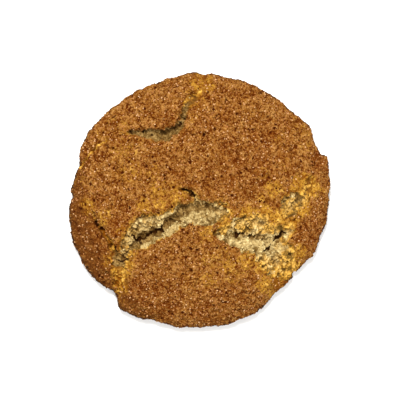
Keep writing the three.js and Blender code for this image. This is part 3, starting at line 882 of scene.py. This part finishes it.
def shape_skin(mesh, relief):
    """Moves the skin's points to their fine relief; keeps what each is made of and its painted light
    and shade.
    """
    draw = np.random.default_rng(SKIN_SEED)
    points = read_points(mesh)
    normals = read_points(mesh, "normal")
    height = points[:, 2] - BASE_HEIGHT
    on_top = ease(normals[:, 2], *TOP_FACING) * ease(height, *TOP_HEIGHTS)
    on_side = ease(height, *RELIEF_HEIGHTS)
    side = ease(height, *SIDE_HEIGHTS)
    browned_and_shaded = ease(points[:, :2] @ BROWN_AND_SHADED_SIDE, *BROWN_AND_SHADED_REACH)

    places = wander(points)
    bare, pale, golden, brown, channel, undercut = crack_measures(points, places)
    slot = np.maximum(undercut, slot_depths(points, places)) * HUNDREDTH
    channel *= HUNDREDTH
    for measure in (bare, pale, channel, slot):
        measure *= on_top
    raggedness = mixed_noise(points, RAGGED)
    border = golden * (1 - bare) * on_top * 0.9
    golden = np.maximum(border, patches(places, GOLDEN_PATCHES, raggedness))
    toasted = patches(places, TOASTED_PATCHES, raggedness)

    lumps, grain, swell, crumb = dough_relief(points, relief)
    in_crumb = bare**2 * (0.15 + pale) + FAINT
    crumb_pores = pores(points, in_crumb, relief.pore_count, relief.pore_radius, draw)
    in_crust = on_top * (1 - bare) + FAINT
    pits = pores(points, in_crust, relief.pit_count, relief.pore_radius * 0.7, draw)
    lines = ease(np.abs(mixed_noise(points, CREASE_LINES)), 0.15, 0.03)
    creases = lines * ease(mixed_noise(points, CREASE_PLACES) + 0.25 * browned_and_shaded, 0.2, 0.4)
    creases *= (1 - bare) * on_side

    crust_share = (1 - bare) * on_side * (1 - 0.35 * side)
    sanded = 1 - 0.4 * golden
    outward = crust_share * (relief.grain_height * grain * sanded + relief.swell_height * swell)
    outward += crust_share * golden * relief.golden_height * lumps
    outward += bare * relief.crumb_height * crumb + side * on_side * relief.rim_swell
    outward -= bare * crumb_pores * 0.8 + (1 - bare) * 0.6 * pits * on_top
    outward -= relief.crease_depth * creases
    for *spot, depth in RIM_DENTS:
        outward -= depth * HUNDREDTH * bowl(radii_from(places, *spot)) * on_side
    points += normals * outward[:, None]
    points[:, 2] -= relief.crust_thickness * bare + channel + slot
    points[:, 2] = np.maximum(points[:, 2], BASE_HEIGHT)
    mesh.vertices.foreach_set("co", points.ravel())

    # Measures for the finish. hollow is painted shade, darker the deeper a slot, hole, pore, pit or
    # crease is, and on the crust partly its own dark red specks; channel is painted shade at the
    # bottom of the crevices and on crumb that the crust beside it shades; heap is the relief's
    # height, which the finish turns into painted light on tops and painted shade between; rim is the
    # browner rim, partly painted shade, and wall is painted shade on the low wall.
    hollow = np.clip(slot / (DARK_SLOT + DARK_CRUMB_SLOT * ease(bare, 0, 0.5)), 0, 1)
    hollow = np.maximum(hollow, bare * np.clip(crumb_pores / DARK_PORE, 0, 1) * 0.65)
    hollow = np.maximum(hollow, (1 - bare) * np.clip(pits / DARK_PIT, 0, 1))
    hollow = np.maximum(hollow, 0.8 * creases)
    crust_heap = (0.4 * swell + 0.6 * grain) * (1 - golden) + 0.9 * lumps * golden
    rim = ease(height - BROWN_AND_SHADED_RIM_RISE * browned_and_shaded, *RIM_HEIGHTS)
    measures = {
        "bare": bare,
        "pale": pale,
        "golden": np.clip(golden, 0, 1),
        "toasted": toasted,
        "channel": np.maximum(np.clip(channel / DARK_CHANNEL, 0, 1), brown * on_top),
        "hollow": hollow,
        "heap": bare * crumb + (1 - bare) * crust_heap,
        "base": ease(-normals[:, 2], *BASE_FACING),
        "side": side,
        "rim": rim * (0.25 + 0.75 * browned_and_shaded),
        "wall": ease(height - WALL_SHADE_RISE * browned_and_shaded, *WALL_SHADE_HEIGHTS),
    }
    for name, values in measures.items():
        write_measure(mesh, name, values)
    mesh.update()


# ---------------------------------------------------------------------------------------------
# Grains scattered over the dough

# The narrowest and widest grain of each kind, against its usual size, and how far its corners
# stray from their places.
CRYSTAL_WIDTHS, CRYSTAL_JITTER = (0.6, 1.25), 0.05
GRAIN_WIDTHS, GRAIN_JITTER = (0.55, 1.2), 0.09
FLECK_WIDTHS, FLECK_JITTER = (0.4, 1.15), 0.07
CRUMB_WIDTHS, CRUMB_JITTER = (0.7, 1.15), 0.09
CRYSTAL_LIFT = 0.15  # how far a crystal stands out of the dough, in its own least width
FLECK_LIFT = 0.05 * MM
# How many fewer grains lie on golden dough and on the side than on the crust's top, as a share,
# and how many fewer of the bare crystals lie on the side than that.
FEWER_ON_GOLDEN = 0.55
FEWER_ON_SIDE = 0.5
FEWER_CRYSTALS_ON_SIDE = 0.7


def unit_shape(build):
    """The vertices and triangles of a small shape that bmesh operators build."""
    bm = bmesh.new()
    build(bm)
    bmesh.ops.triangulate(bm, faces=bm.faces)
    bm.verts.index_update()
    points = np.array([vert.co for vert in bm.verts])
    faces = np.array([[vert.index for vert in face.verts] for face in bm.faces])
    bm.free()
    return points, faces


def build_crystal(bm):
    """A block of sugar, a little narrower at one end."""
    bmesh.ops.create_cube(bm, size=1)
    end = [vert for vert in bm.verts if vert.co.z > 0]
    bmesh.ops.scale(bm, verts=end, vec=(0.82, 0.9, 1))


def build_grain(bm):
    """A rough grain of eight faces."""
    bmesh.ops.create_uvsphere(bm, u_segments=4, v_segments=2, radius=0.55)


def build_round_lump(bm):
    """A lump of twenty faces."""
    bmesh.ops.create_icosphere(bm, subdivisions=1, radius=0.5)


def build_flake(bm):
    """A thin flake with six uneven corners."""
    bmesh.ops.create_cone(
        bm, cap_ends=True, cap_tris=False, segments=6, radius1=0.5, radius2=0.42, depth=0.25
    )


def random_turns(count, draw):
    """Evenly spread random rotation matrices."""
    w, x, y, z = draw.normal(size=(4, count))
    length = np.sqrt(w * w + x * x + y * y + z * z)
    w, x, y, z = w / length, x / length, y / length, z / length
    rows = (
        (1 - 2 * (y * y + z * z), 2 * (x * y - z * w), 2 * (x * z + y * w)),
        (2 * (x * y + z * w), 1 - 2 * (x * x + z * z), 2 * (y * z - x * w)),
        (2 * (x * z - y * w), 2 * (y * z + x * w), 1 - 2 * (x * x + y * y)),
    )
    return np.array(rows).transpose(2, 0, 1)


def scatter(mesh, weights, count, draw):
    """Places on the mesh, more of them where the weights are high.

    With them come the mesh's normal and one of its nearest vertices at each place.
    """
    mesh.calc_loop_triangles()
    corners = np.empty(len(mesh.loop_triangles) * 3, int)
    mesh.loop_triangles.foreach_get("vertices", corners)
    corners = corners.reshape(-1, 3)
    points = read_points(mesh)
    first, second, third = (points[corners[:, k]] for k in range(3))
    crossed = np.cross(second - first, third - first)
    areas = np.linalg.norm(crossed, axis=1)
    chances = areas * weights[corners].mean(axis=1)
    chosen = draw.choice(len(corners), count, p=chances / chances.sum())
    a, b = draw.random((2, count))
    flipped = a + b > 1
    a[flipped], b[flipped] = 1 - a[flipped], 1 - b[flipped]
    a, b = a[:, None], b[:, None]
    spots = first[chosen] * (1 - a - b) + second[chosen] * a + third[chosen] * b
    normals = read_points(mesh, "normal")[corners[chosen]].mean(axis=1)
    return spots, normals / np.linalg.norm(normals, axis=1)[:, None], corners[chosen, 0]


def join_copies(name, build, spots, turns, sizes, jitter, draw):
    """One mesh of many copies of a small shape, each turned, sized and made uneven."""
    shape_points, shape_faces = unit_shape(build)
    count, corners = len(spots), len(shape_points)
    uneven = shape_points[None] + draw.normal(0, jitter, (count, corners, 3))
    sized = uneven * sizes[:, None, :]
    placed = np.einsum("nij,nvj->nvi", turns, sized) + spots[:, None, :]
    faces = shape_faces[None] + (np.arange(count) * corners)[:, None, None]
    points = placed.reshape(-1, 3)
    points[:, 2] = np.maximum(points[:, 2], BASE_HEIGHT)
    mesh = bpy.data.meshes.new(name)
    mesh.from_pydata(points, [], faces.reshape(-1, 3))
    write_measure(mesh, "tone", np.repeat(draw.random(count), corners))
    return mesh


def turned_flat(turns, normals):
    """The turns, changed so that each shape's own Z lies along the normal of its place."""
    flat = np.empty_like(turns)
    flat[:, :, 2] = normals
    side = np.cross(turns[:, :, 0], normals)
    side /= np.linalg.norm(side, axis=1)[:, None]
    flat[:, :, 1] = side
    flat[:, :, 0] = np.cross(side, normals)
    return flat


def add_piece(name, mesh, material):
    """Shows a finished mesh as a piece of the biscuit, and returns it."""
    mesh.materials.append(material)
    piece = add_object(name, mesh)
    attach(piece, BODY)
    return piece


def crust_weights(mesh):
    """Where sugar and cinnamon lie: on the crust, thinly on golden dough, least underneath."""
    names = ("bare", "golden", "hollow", "side", "base")
    bare, golden, hollow, side, base = (read_measure(mesh, name) for name in names)
    crust = (1 - bare) * (1 - FEWER_ON_GOLDEN * golden) * (1 - hollow)
    return crust * (1 - FEWER_ON_SIDE * side) * (1 - base) + FAINT


# ---------------------------------------------------------------------------------------------
# Finishes

# The noises in them: how wide their lumps are, how many sizes of them there are, and how rough
# they are.
CRUST_SPECKLE = (1.1 * MM, 3, 0.65)
CRUST_CLUMP = (2.4 * MM, 2, 0.55)
CRUST_PATCH = (6 * MM, 3, 0.55)
SPECKLE = (0.9 * MM, 3, 0.6)
CLUMP = (2.2 * MM, 2, 0.55)
FINE = (0.4 * MM, 2, 0.6)
GRIT = (0.7 * MM, 3, 0.7)
SUGAR_DUST = (0.3 * MM,)
COAT_DUST = (0.25 * MM, 2, 0.6)
FIBRE = (0.2 * MM, 2, 0.6)
CRUMB_PORES = (0.35 * MM, 3, 0.6)
CLOUD = (80 * MM, 2)
PEBBLE = 0.5 * MM
# How far these noises stand out of the surface, as shading.
PEBBLE_BUMP = 0.3 * MM
COAT_BUMP = 0.08 * MM
FIBRE_BUMP = 0.05 * MM
PORE_BUMP = 0.12 * MM
DULL = 0.02  # the faint shine of baked dough


def crust_colour(recipe, colours, tone):
    """The brown of the crust: redder where it is dark, yellower where it is light."""
    rim = recipe.measure("rim")
    broad = recipe.grain(*CRUST_PATCH).rise(0.4, 0.68)
    # The tone that comes in can carry the relief's height, lighter on tops and darker between, and
    # the rim lowers the level: painted light and shade mixed into the crust's own uneven tone. The
    # rim colour is partly baked brown and partly painted shade.
    level = recipe.grain(*CRUST_SPECKLE).about(1.7) + recipe.grain(*CRUST_CLUMP).about(1.2)
    level = level + tone - rim * 0.25
    reddish = (recipe.measure("toasted") + broad * 0.6).clamp() * 0.75
    brown = reddish.mix(colours.crust, colours.toasted)
    light = (reddish * 0.6).mix(colours.crust_light, colours.crust)
    brown = (level.rise(0, 0.55) * 0.95).mix(brown, light)
    brown = (level.rise(-0.05, -0.5) * 0.95).mix(brown, colours.crust_dark)
    return (rim * 0.35).mix(brown, colours.rim)


def make_dough_material(colours):
    """Crust, golden dough, torn crumb and base in one skin."""
    recipe = Recipe("baked_dough")
    names = ("bare", "pale", "golden", "hollow", "heap", "toasted")
    bare, pale, golden, hollow, heap, toasted = (recipe.measure(name) for name in names)
    speckle, clump, fine = (recipe.grain(*noise) for noise in (SPECKLE, CLUMP, FINE))

    # heap makes the crust lighter on its relief's tops and darker between: painted light and shade.
    crust = crust_colour(recipe, colours, recipe.cell_tone(PEBBLE).about(0.8) + heap * 0.6)

    # The golden dough, where no sugar lies, with painted light on its lumps' tops and painted shade
    # between them mixed into its uneven tone, and painted shade on the low wall under it.
    level = speckle.about(1.5) + clump.about(1.2) + fine.about(0.8) + heap * 0.6
    warm = level + bare * 0.25 + golden.rise(0.8, 1) * bare * 0.3 - toasted * 0.45
    dough = warm.rise(0, 0.5).mix(colours.golden, colours.golden_light)
    dough = (warm.rise(-0.1, -0.6) * 0.9).mix(dough, colours.golden_dark)
    patchy = (golden + speckle.about(1.3) + clump.about(0.8)).rise(0.25, 0.9)
    skin = patchy.mix(crust, dough)
    skin = (recipe.measure("wall") + clump.about(1)).rise(0.25, 0.8).mix(skin, colours.edge)

    # The torn crumb, pale or golden, with painted light on its lumps and painted shade in its hollows
    # mixed into its uneven tone.
    cream = (pale - golden * 0.65 + clump.about(0.9)).rise(0.2, 0.7)
    crumb = cream.mix(dough, level.rise(0, 0.6).mix(colours.crumb, colours.crumb_light))
    olive = pale.rise(0.05, 0.35)
    shade = olive.mix(colours.golden_dark, colours.crumb_shade)
    crumb = level.rise(-0.05, -0.7).mix(crumb, shade)

    # The crumb down in the crevices and under the crust's lips, in painted shade with lighter lumps,
    # and painted shade in the slots, pores, pits and creases; in the crust's pits partly its own dark
    # red specks.
    grit = recipe.grain(*GRIT).about(1.6)
    channel = recipe.measure("channel") + speckle.about(0.9) + grit * -0.3 + heap * -0.3
    rough = level + grit
    crevice = rough.rise(-0.5, 0.5).mix(colours.crevice, colours.crevice_light)
    crevice = rough.rise(0.45, 1.2).mix(crevice, colours.crumb)
    crevice = rough.rise(-0.3, -1.1).mix(crevice, colours.shadow)
    crumb = channel.rise(0.15, 0.7).mix(crumb, olive.mix(colours.golden_dark, crevice))
    skin = (bare + speckle.about(0.9)).rise(0.35, 0.65).mix(skin, crumb)
    skin = hollow.rise(0.3, 0.95).mix(skin, bare.mix(colours.pit, colours.shadow))
    underside = speckle.rise(0.3, 0.7).mix(colours.base, colours.toasted)
    skin = recipe.measure("base").mix(skin, underside)

    height = recipe.cells(PEBBLE).rise(0.8, 0.1) * (1 - bare) * 0.6 + fine * 0.4
    normal = recipe.bump(height, PEBBLE_BUMP)
    return recipe.finish(
        Base_Color=skin, Roughness=0.7 + bare * 0.2, Normal=normal, Specular_IOR_Level=DULL
    )


def make_crystal_material(colours):
    """Clear sugar, most of it dusted with cinnamon."""
    recipe = Recipe("sugar")
    dusted = (recipe.measure("tone") + recipe.grain(*SUGAR_DUST).about(0.4)).rise(0, 0.4)
    clear = dusted.mix(colours.crystal, colours.dusted)
    return recipe.finish(Base_Color=clear, Roughness=0.3 + dusted * 0.3, Specular_IOR_Level=0.18)


def make_coated_material(colours):
    """Sugar grains in a coat of cinnamon."""
    recipe = Recipe("coated_sugar")
    dust = recipe.grain(*COAT_DUST)
    coat = crust_colour(recipe, colours, recipe.measure("tone").about(1.4) + dust.about(0.7))
    normal = recipe.bump(dust, COAT_BUMP)
    return recipe.finish(Base_Color=coat, Roughness=0.6, Normal=normal, Specular_IOR_Level=0.03)


def make_fleck_material(colours):
    """Ground cinnamon bark."""
    recipe = Recipe("cinnamon")
    fibre = recipe.grain(*FIBRE)
    bark = recipe.measure("tone").mix(colours.fleck, colours.fleck_light)
    bark = (fibre.rise(0.6, 0.4) * 0.5).mix(bark, colours.fleck_fibre)
    normal = recipe.bump(fibre, FIBRE_BUMP)
    return recipe.finish(Base_Color=bark, Roughness=0.8, Normal=normal, Specular_IOR_Level=DULL)


def make_crumb_material(colours):
    """Loose lumps of crumb."""
    recipe = Recipe("crumb")
    pore = recipe.grain(*CRUMB_PORES)
    pale = recipe.measure("tone").rise(0.1, 0.9) * 0.7
    crumb = pale.mix(colours.crumb, colours.crumb_light)
    # Darker where the pore noise is low: painted shade in its pores.
    crumb = (pore.rise(0.5, 0.3) * 0.7).mix(crumb, colours.crumb_shade)
    normal = recipe.bump(pore, PORE_BUMP)
    return recipe.finish(Base_Color=crumb, Roughness=0.88, Normal=normal, Specular_IOR_Level=DULL)


# ---------------------------------------------------------------------------------------------
# The pieces


class SNICKERDOODLE_OT_body(bpy.types.Operator):
    """Make the biscuit's skin: crust, torn crumb and base"""

    bl_idname = "snickerdoodle.body"
    bl_label = "Biscuit"

    def execute(self, context):
        scene = context.scene
        mesh = make_skin_mesh(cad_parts[NODE])
        shape_skin(mesh, scene.snickerdoodle_relief)
        material = make_dough_material(scene.snickerdoodle_colours)
        body = add_piece("snickerdoodle", mesh, material)
        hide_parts(NODE)
        return {"FINISHED"}


class SNICKERDOODLE_OT_sugar(bpy.types.Operator):
    """Scatter bare sugar crystals and grains coated with cinnamon over the crust"""

    bl_idname = "snickerdoodle.sugar"
    bl_label = "Sugar"

    def execute(self, context):
        topping = context.scene.snickerdoodle_topping
        colours = context.scene.snickerdoodle_colours
        skin = bpy.data.objects["snickerdoodle"].data
        weights = crust_weights(skin)

        draw = np.random.default_rng(SUGAR_SEED)
        count = topping.crystal_count
        crystal_weights = weights * (1 - FEWER_CRYSTALS_ON_SIDE * read_measure(skin, "side"))
        spots, normals, _ = scatter(skin, crystal_weights, count, draw)
        sizes = topping.crystal_size * draw.uniform(*CRYSTAL_WIDTHS, (count, 3))
        turns = random_turns(count, draw)
        spots += normals * sizes.min(axis=1)[:, None] * CRYSTAL_LIFT
        crystals = join_copies(
            "sugar_crystals", build_crystal, spots, turns, sizes, CRYSTAL_JITTER, draw
        )
        add_piece("sugar_crystals", crystals, make_crystal_material(colours))

        count = topping.grain_count
        spots, _, under = scatter(skin, weights, count, draw)
        sizes = topping.grain_size * draw.uniform(*GRAIN_WIDTHS, (count, 3))
        turns = random_turns(count, draw)
        grains = join_copies("coated_sugar", build_grain, spots, turns, sizes, GRAIN_JITTER, draw)
        corners = len(grains.vertices) // count
        # The grains take the skin's toasted and rim measures, so the rim's browning, partly painted
        # shade, spreads onto them.
        for name in ("toasted", "rim"):
            write_measure(grains, name, np.repeat(read_measure(skin, name)[under], corners))
        add_piece("coated_sugar", grains, make_coated_material(colours))
        return {"FINISHED"}


class SNICKERDOODLE_OT_cinnamon(bpy.types.Operator):
    """Scatter flecks of ground cinnamon over the crust"""

    bl_idname = "snickerdoodle.cinnamon"
    bl_label = "Cinnamon"

    def execute(self, context):
        topping = context.scene.snickerdoodle_topping
        colours = context.scene.snickerdoodle_colours
        skin = bpy.data.objects["snickerdoodle"].data
        draw = np.random.default_rng(CINNAMON_SEED)
        count = topping.fleck_count
        spots, normals, _ = scatter(skin, crust_weights(skin), count, draw)
        sizes = topping.fleck_size * draw.uniform(*FLECK_WIDTHS, (count, 3))
        turns = turned_flat(random_turns(count, draw), normals)
        spots += normals * FLECK_LIFT
        flecks = join_copies(
            "cinnamon_flecks", build_flake, spots, turns, sizes, FLECK_JITTER, draw
        )
        add_piece("cinnamon_flecks", flecks, make_fleck_material(colours))
        return {"FINISHED"}


class SNICKERDOODLE_OT_crumbs(bpy.types.Operator):
    """Scatter loose lumps of crumb in the cracks"""

    bl_idname = "snickerdoodle.crumbs"
    bl_label = "Crumbs"

    def execute(self, context):
        topping = context.scene.snickerdoodle_topping
        colours = context.scene.snickerdoodle_colours
        skin = bpy.data.objects["snickerdoodle"].data
        draw = np.random.default_rng(CRUMB_SEED)
        count = topping.crumb_count
        names = ("hollow", "channel", "pale", "golden", "bare")
        hollow, channel, pale, golden, bare = (read_measure(skin, name) for name in names)
        cream = pale * (1 - golden) * bare
        lit = 1 - np.maximum(hollow, channel)
        spots, _, _ = scatter(skin, cream**2 * lit**4 + FAINT, count, draw)
        sizes = topping.crumb_size * (0.4 + 1.1 * draw.random((count, 1)) ** 2)
        sizes = sizes * draw.uniform(*CRUMB_WIDTHS, (count, 3))
        turns = random_turns(count, draw)
        crumbs = join_copies(
            "loose_crumbs", build_round_lump, spots, turns, sizes, CRUMB_JITTER, draw
        )
        crumbs.polygons.foreach_set("use_smooth", np.ones(len(crumbs.polygons), bool))
        add_piece("loose_crumbs", crumbs, make_crumb_material(colours))
        return {"FINISHED"}


# ---------------------------------------------------------------------------------------------
# Floor, light and camera

VIEW_FIELD = 140 * MM  # what the picture's width takes in at the height of the rim
RIM_HEIGHT = 3.6 * MM
CAMERA_PLACE = (0.15 * MM, 0.075 * MM, 900 * MM)
SENSOR_WIDTH = 36.0
NEAREST = 10 * MM  # what is nearer to the camera than this isn't shown
FLOOR_SIZE = 0.6
FLOOR_GAP = 0.05 * MM

# The lamps: where they are, how wide, how strong in watts, and their colours.
LAMPS = {
    "window": ((-0.06, 0.27, 0.58), 0.2, 5.85, (1.0, 0.98, 0.94)),
    "room": ((0.12, -0.42, 0.6), 0.8, 2.8, (0.97, 0.98, 1.0)),
}
SKY_COLOUR = (1.0, 0.99, 0.97, 1)
SKY_STRENGTH = 0.82


def add_softbox(name, place, size, power, colour):
    """A round, soft lamp that faces the biscuit."""
    lamp = bpy.data.lights.new(name, "AREA")
    lamp.shape = "DISK"
    lamp.size = size
    lamp.energy = power
    lamp.color = colour
    holder = add_object(name, lamp)
    holder.location = place
    holder.rotation_mode = "QUATERNION"
    holder.rotation_quaternion = (-Vector(place)).to_track_quat("-Z", "Y")


def make_floor_material(colours):
    """A pale, even ground with faint clouds in it."""
    recipe = Recipe("floor")
    paint = (recipe.grain(*CLOUD) * 0.1).mix(colours.floor, colours.floor_cloud)
    return recipe.finish(Base_Color=paint, Roughness=0.9, Specular_IOR_Level=0.1)


class SNICKERDOODLE_OT_stage(bpy.types.Operator):
    """Set the floor, the lights and the camera that looks straight down"""

    bl_idname = "snickerdoodle.stage"
    bl_label = "Stage"

    def execute(self, context):
        scene = context.scene
        bm = bmesh.new()
        bmesh.ops.create_grid(bm, x_segments=1, y_segments=1, size=FLOOR_SIZE)
        bmesh.ops.translate(bm, verts=bm.verts, vec=(0, 0, BASE_HEIGHT - FLOOR_GAP))
        mesh = bpy.data.meshes.new("floor")
        bm.to_mesh(mesh)
        bm.free()
        mesh.materials.append(make_floor_material(scene.snickerdoodle_colours))
        floor = add_object("floor", mesh)

        for name, lamp in LAMPS.items():
            add_softbox(name, *lamp)
        world = bpy.data.worlds.new("soft_light")
        world.use_nodes = True
        background = world.node_tree.nodes["Background"]
        background.inputs["Color"].default_value = SKY_COLOUR
        background.inputs["Strength"].default_value = SKY_STRENGTH
        scene.world = world

        lens = bpy.data.cameras.new("camera")
        lens.sensor_width = SENSOR_WIDTH
        lens.lens = SENSOR_WIDTH * (CAMERA_PLACE[2] - RIM_HEIGHT) / VIEW_FIELD
        lens.clip_start = NEAREST
        camera = add_object("camera", lens)
        camera.location = CAMERA_PLACE
        scene.camera = camera
        scene.view_settings.view_transform = "Standard"
        return {"FINISHED"}


class SNICKERDOODLE_PT_panel(bpy.types.Panel):
    """The biscuit's sizes, colours and pieces."""

    bl_idname = "SNICKERDOODLE_PT_panel"
    bl_label = "Snickerdoodle"
    bl_space_type = "VIEW_3D"
    bl_region_type = "UI"
    bl_category = "Snickerdoodle"

    def draw(self, context):
        for group in SETTINGS:
            settings = getattr(context.scene, group)
            box = self.layout.box()
            for name in settings.__annotations__:
                box.prop(settings, name)
        for operator in OPERATORS:
            self.layout.operator(operator.bl_idname)


SETTINGS = {
    "snickerdoodle_relief": SnickerdoodleRelief,
    "snickerdoodle_colours": SnickerdoodleColours,
    "snickerdoodle_topping": SnickerdoodleTopping,
}
OPERATORS = (
    SNICKERDOODLE_OT_stage,
    SNICKERDOODLE_OT_body,
    SNICKERDOODLE_OT_sugar,
    SNICKERDOODLE_OT_cinnamon,
    SNICKERDOODLE_OT_crumbs,
)
CLASSES = (*SETTINGS.values(), *OPERATORS, SNICKERDOODLE_PT_panel)


def register():
    for cls in CLASSES:
        bpy.utils.register_class(cls)
    for name, group in SETTINGS.items():
        setattr(bpy.types.Scene, name, PointerProperty(type=group))


def unregister():
    for name in SETTINGS:
        delattr(bpy.types.Scene, name)
    for cls in reversed(CLASSES):
        bpy.utils.unregister_class(cls)


def main():
    register()
    bpy.ops.snickerdoodle.stage()
    bpy.ops.snickerdoodle.body()
    bpy.ops.snickerdoodle.sugar()
    bpy.ops.snickerdoodle.cinnamon()
    bpy.ops.snickerdoodle.crumbs()


if __name__ == "__main__":
    main()
